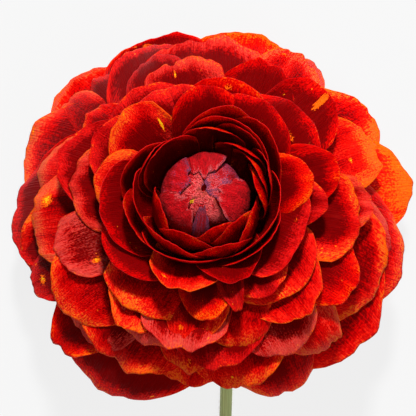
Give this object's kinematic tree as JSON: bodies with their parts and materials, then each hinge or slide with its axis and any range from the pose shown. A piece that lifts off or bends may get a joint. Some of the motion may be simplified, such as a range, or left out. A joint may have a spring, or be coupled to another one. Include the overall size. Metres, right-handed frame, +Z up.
{
  "type": "persian buttercup flower",
  "caption": "Fully double red Persian buttercup bloom with a dusky purple heart, cut with its green stem and laid on a table.",
  "frame": {"origin": "centre of the lying flower's footprint, on the surface that it lies on", "axes": "+Z up from the surface, +Y from the cut end of the stem towards the bloom, +X to the right in the picture"},
  "size_m": [0.1086, 0.1856, 0.0635],
  "materials": {
    "petal": "soft matte, satin on the inner faces, with a thin bright rim and a dusty mauve bloom near the margins",
    "heart_petal": "velvety matte, dusky pink to lavender over red",
    "sepal": "matte, finely downy, paler at the margin",
    "stem": "matte, waxy and finely downy, with faint ribs along it"
  },
  "bodies": {
    "root": {"petals": "petal", "heart": "heart_petal", "sepals": "sepal", "stem": "stem"}
  },
  "joints": []
}
